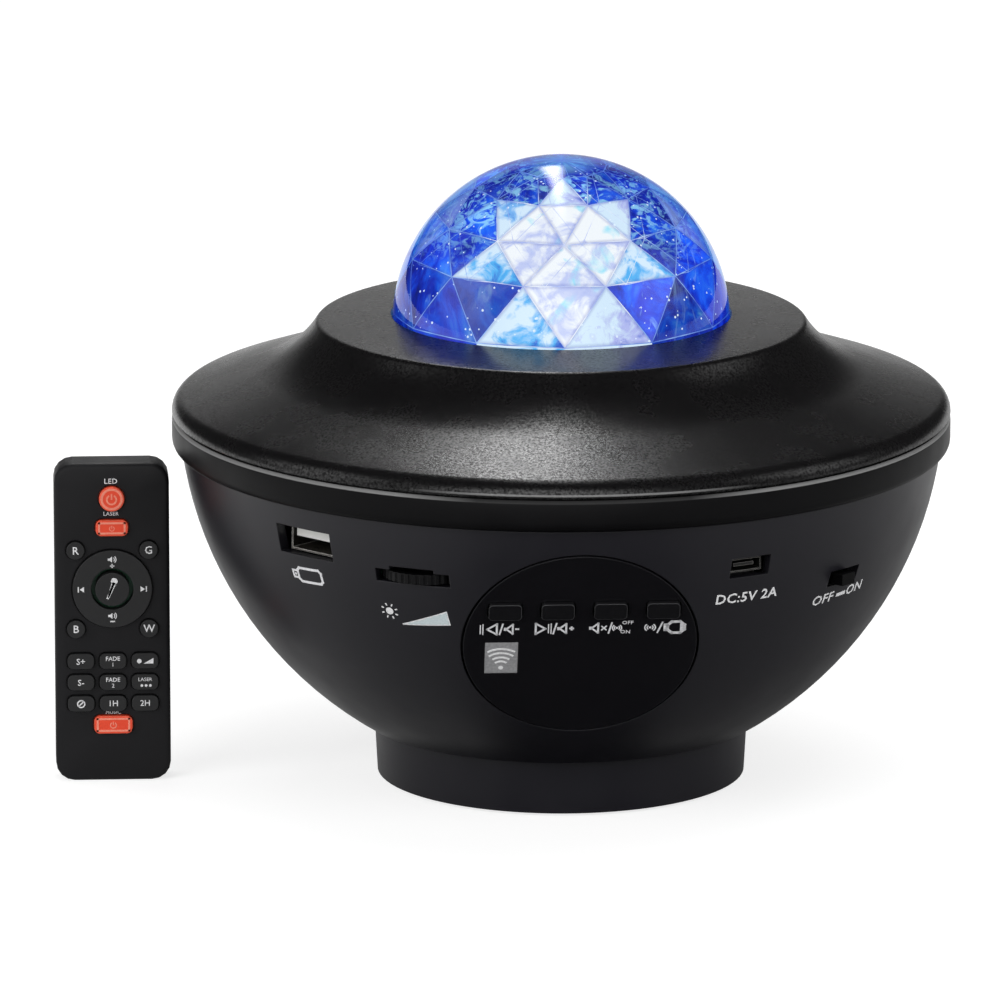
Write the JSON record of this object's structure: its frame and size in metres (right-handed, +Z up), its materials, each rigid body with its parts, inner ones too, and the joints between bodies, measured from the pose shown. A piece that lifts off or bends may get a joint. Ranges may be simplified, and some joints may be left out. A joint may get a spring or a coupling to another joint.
{
  "type": "star night light projector",
  "caption": "Saucer-shaped star and nebula night light with a faceted clear dome, control panel and loudspeaker, beside its slim remote control.",
  "frame": {"origin": "centre of the foot pad's underside, on the table, on the bowl's axis", "axes": "-Y out of the control panel, +X to the right as seen facing the panel, +Z up along the bowl's axis; the remote control stands on the -X side"},
  "size_m": [0.1902, 0.165, 0.1333],
  "materials": {
    "housing_plastic": "fine satin texture",
    "cover_plastic": "fine satin texture",
    "panel_plastic": "smooth, slightly glossy",
    "clear_dome": "clear, faceted inside",
    "ripple_plastic": "clear, rippled",
    "lens_plastic": "clear, polished",
    "foot_rubber": "matte foam rubber",
    "tray_plastic": "moulded",
    "board": "solder mask",
    "white_board": "white solder mask",
    "chip": "phosphor",
    "component": "moulded package",
    "tinned_steel": "tinned",
    "bright_steel": "polished nickel plate",
    "screw_steel": "zinc plated",
    "laser_brass": "turned",
    "white_plastic": "moulded",
    "wheel_plastic": "knurled edge",
    "knob_plastic": "smooth",
    "button_plastic": "smooth",
    "ir_plastic": "smoky grey",
    "grille_plastic": "fine satin texture",
    "cone_paper": "pressed paper",
    "lead_insulation": "pvc",
    "remote_plastic": "satin",
    "key_rubber": "soft touch",
    "key_red": "soft touch",
    "cell_steel": "bright"
  },
  "bodies": {
    "projector": {"bowl": "housing_plastic", "base_plate": "housing_plastic", "foot_pad": "foot_rubber", "rim_ring": "housing_plastic", "top_cover": "cover_plastic", "crystal_dome": "clear_dome", "dome_retainer": "tray_plastic", "lamp_tray": "tray_plastic", "led_board": "white_board", "led_chips": "chip", "led_lenses": "lens_plastic", "laser_module": "laser_brass", "ripple_motor": "tinned_steel", "main_board": "board", "board_parts": "component", "usb_shell": "bright_steel", "usb_tongue": "white_plastic", "dc_socket": "bright_steel", "switch_body": "tinned_steel", "dimmer_body": "tinned_steel", "control_panel": "panel_plastic", "button_board": "board", "button_board_parts": "tinned_steel", "ir_window": "ir_plastic", "speaker_grille": "grille_plastic", "speaker_frame": "tinned_steel", "fasteners": "screw_steel", "wiring": "lead_insulation"},
    "pinion": {"motor_pinion": "white_plastic"},
    "ripple": {"ripple_disc": "ripple_plastic"},
    "cone": {"speaker_cone": "cone_paper"},
    "dimmer": {"dimmer_wheel": "wheel_plastic"},
    "switch": {"switch_knob": "knob_plastic"},
    "previous_button_body": {"previous_button": "button_plastic"},
    "next_button_body": {"next_button": "button_plastic"},
    "mute_button_body": {"mute_button": "button_plastic"},
    "mode_button_body": {"mode_button": "button_plastic"},
    "remote": {"remote_front_case": "remote_plastic", "remote_back_case": "remote_plastic", "remote_board": "board"},
    "drawer": {"battery_drawer": "remote_plastic", "coin_cell": "cell_steel"},
    "led_key_body": {"led_key": "key_red"},
    "laser_key_body": {"laser_key": "key_red"},
    "red_key_body": {"red_key": "key_rubber"},
    "green_key_body": {"green_key": "key_rubber"},
    "blue_key_body": {"blue_key": "key_rubber"},
    "white_key_body": {"white_key": "key_rubber"},
    "ring_key_body": {"ring_key": "key_rubber"},
    "voice_key_body": {"voice_key": "key_rubber"},
    "speed_up_key_body": {"speed_up_key": "key_rubber"},
    "fade_in_key_body": {"fade_in_key": "key_rubber"},
    "star_key_body": {"star_key": "key_rubber"},
    "speed_down_key_body": {"speed_down_key": "key_rubber"},
    "fade_out_key_body": {"fade_out_key": "key_rubber"},
    "breathe_key_body": {"breathe_key": "key_rubber"},
    "cancel_key_body": {"cancel_key": "key_rubber"},
    "one_hour_key_body": {"one_hour_key": "key_rubber"},
    "two_hour_key_body": {"two_hour_key": "key_rubber"},
    "music_key_body": {"music_key": "key_red"}
  },
  "joints": [
    {"name": "ripple_spin", "type": "hinge", "parent": "projector", "child": "ripple", "pos_m": [0, 0, 0.0894], "axis": [0, 0, 1], "continuous": true},
    {"name": "pinion_spin", "type": "hinge", "parent": "projector", "child": "pinion", "pos_m": [0.03105, 0, 0.0894], "axis": [0, 0, 1], "continuous": true},
    {"name": "speaker_stroke", "type": "slide", "parent": "projector", "child": "cone", "axis": [-0.8148, 0.3292, -0.4772], "range_m": [-0.0005, 0.0005], "stiffness_N_per_m": 800},
    {"name": "dimmer_turn", "type": "hinge", "parent": "projector", "child": "dimmer", "pos_m": [-0.03108, -0.06234, 0.0596], "axis": [0, 0, 1], "range_deg": [-135, 135]},
    {"name": "power_slide", "type": "slide", "parent": "projector", "child": "switch", "axis": [0.682, 0.7314, 0], "range_m": [0, 0.003]},
    {"name": "previous_press", "type": "slide", "parent": "projector", "child": "previous_button_body", "axis": [0, 0.8788, 0.4772], "range_m": [0, 0.0006], "stiffness_N_per_m": 300},
    {"name": "next_press", "type": "slide", "parent": "projector", "child": "next_button_body", "axis": [0, 0.8788, 0.4772], "range_m": [0, 0.0006], "stiffness_N_per_m": 300},
    {"name": "mute_press", "type": "slide", "parent": "projector", "child": "mute_button_body", "axis": [0, 0.8788, 0.4772], "range_m": [0, 0.0006], "stiffness_N_per_m": 300},
    {"name": "mode_press", "type": "slide", "parent": "projector", "child": "mode_button_body", "axis": [0, 0.8788, 0.4772], "range_m": [0, 0.0006], "stiffness_N_per_m": 300},
    {"name": "remote_lift", "type": "slide", "parent": "projector", "child": "remote", "axis": [0, 0, 1], "range_m": [0, 0.12]},
    {"name": "drawer_pull", "type": "slide", "parent": "remote", "child": "drawer", "axis": [0, 0, -1], "range_m": [0, 0.023]},
    {"name": "led_key_press", "type": "slide", "parent": "remote", "child": "led_key_body", "axis": [0, 1, 0], "range_m": [0, 0.0005], "stiffness_N_per_m": 200},
    {"name": "laser_key_press", "type": "slide", "parent": "remote", "child": "laser_key_body", "axis": [0, 1, 0], "range_m": [0, 0.0005], "stiffness_N_per_m": 200},
    {"name": "red_key_press", "type": "slide", "parent": "remote", "child": "red_key_body", "axis": [0, 1, 0], "range_m": [0, 0.0005], "stiffness_N_per_m": 200},
    {"name": "green_key_press", "type": "slide", "parent": "remote", "child": "green_key_body", "axis": [0, 1, 0], "range_m": [0, 0.0005], "stiffness_N_per_m": 200},
    {"name": "blue_key_press", "type": "slide", "parent": "remote", "child": "blue_key_body", "axis": [0, 1, 0], "range_m": [0, 0.0005], "stiffness_N_per_m": 200},
    {"name": "white_key_press", "type": "slide", "parent": "remote", "child": "white_key_body", "axis": [0, 1, 0], "range_m": [0, 0.0005], "stiffness_N_per_m": 200},
    {"name": "ring_key_press", "type": "slide", "parent": "remote", "child": "ring_key_body", "axis": [0, 1, 0], "range_m": [0, 0.0005], "stiffness_N_per_m": 200},
    {"name": "voice_key_press", "type": "slide", "parent": "remote", "child": "voice_key_body", "axis": [0, 1, 0], "range_m": [0, 0.0005], "stiffness_N_per_m": 200},
    {"name": "speed_up_key_press", "type": "slide", "parent": "remote", "child": "speed_up_key_body", "axis": [0, 1, 0], "range_m": [0, 0.0005], "stiffness_N_per_m": 200},
    {"name": "fade_in_key_press", "type": "slide", "parent": "remote", "child": "fade_in_key_body", "axis": [0, 1, 0], "range_m": [0, 0.0005], "stiffness_N_per_m": 200},
    {"name": "star_key_press", "type": "slide", "parent": "remote", "child": "star_key_body", "axis": [0, 1, 0], "range_m": [0, 0.0005], "stiffness_N_per_m": 200},
    {"name": "speed_down_key_press", "type": "slide", "parent": "remote", "child": "speed_down_key_body", "axis": [0, 1, 0], "range_m": [0, 0.0005], "stiffness_N_per_m": 200},
    {"name": "fade_out_key_press", "type": "slide", "parent": "remote", "child": "fade_out_key_body", "axis": [0, 1, 0], "range_m": [0, 0.0005], "stiffness_N_per_m": 200},
    {"name": "breathe_key_press", "type": "slide", "parent": "remote", "child": "breathe_key_body", "axis": [0, 1, 0], "range_m": [0, 0.0005], "stiffness_N_per_m": 200},
    {"name": "cancel_key_press", "type": "slide", "parent": "remote", "child": "cancel_key_body", "axis": [0, 1, 0], "range_m": [0, 0.0005], "stiffness_N_per_m": 200},
    {"name": "one_hour_key_press", "type": "slide", "parent": "remote", "child": "one_hour_key_body", "axis": [0, 1, 0], "range_m": [0, 0.0005], "stiffness_N_per_m": 200},
    {"name": "two_hour_key_press", "type": "slide", "parent": "remote", "child": "two_hour_key_body", "axis": [0, 1, 0], "range_m": [0, 0.0005], "stiffness_N_per_m": 200},
    {"name": "music_key_press", "type": "slide", "parent": "remote", "child": "music_key_body", "axis": [0, 1, 0], "range_m": [0, 0.0005], "stiffness_N_per_m": 200}
  ],
  "couplings": [
    {"joint": "pinion_spin", "follows": "ripple_spin", "ratio": -5.2}
  ]
}
